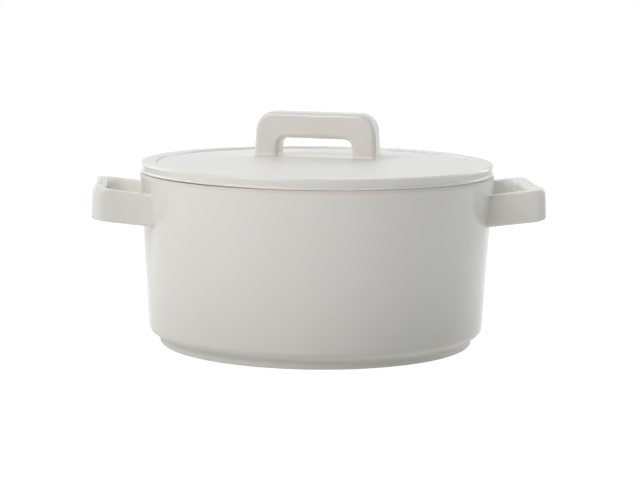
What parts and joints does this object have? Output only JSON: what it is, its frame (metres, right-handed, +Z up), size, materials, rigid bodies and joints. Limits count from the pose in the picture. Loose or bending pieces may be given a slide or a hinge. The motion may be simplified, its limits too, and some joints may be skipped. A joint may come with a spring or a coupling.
{
  "type": "covered casserole dish",
  "caption": "Round covered casserole in white glazed porcelain, with a foot ring, flat loop handles on the wall and a drop-in lid with a bridge handle.",
  "frame": {"origin": "under the centre of the dish, on the flat of the foot ring that it stands on", "axes": "+Z up along the axis of the dish and the way the lid lifts, +X towards one side handle, -Y the front that the picture shows"},
  "size_m": [0.2852, 0.226, 0.1472],
  "materials": {
    "dish_glaze": "glossy warm-white glaze, bare biscuit on the flat of the foot ring",
    "side_handle_glaze": "glossy warm-white glaze",
    "lid_glaze": "glossy warm-white glaze, bare biscuit where it sits on the rim",
    "lid_handle_glaze": "glossy warm-white glaze"
  },
  "bodies": {
    "dish": {"dish": "dish_glaze", "side_handle_left": "side_handle_glaze", "side_handle_right": "side_handle_glaze"},
    "lid": {"lid": "lid_glaze", "lid_handle": "lid_handle_glaze"}
  },
  "joints": [
    {"name": "lid_lift", "type": "slide", "parent": "dish", "child": "lid", "axis": [0, 0, 1], "range_m": [0, 0.12]}
  ]
}
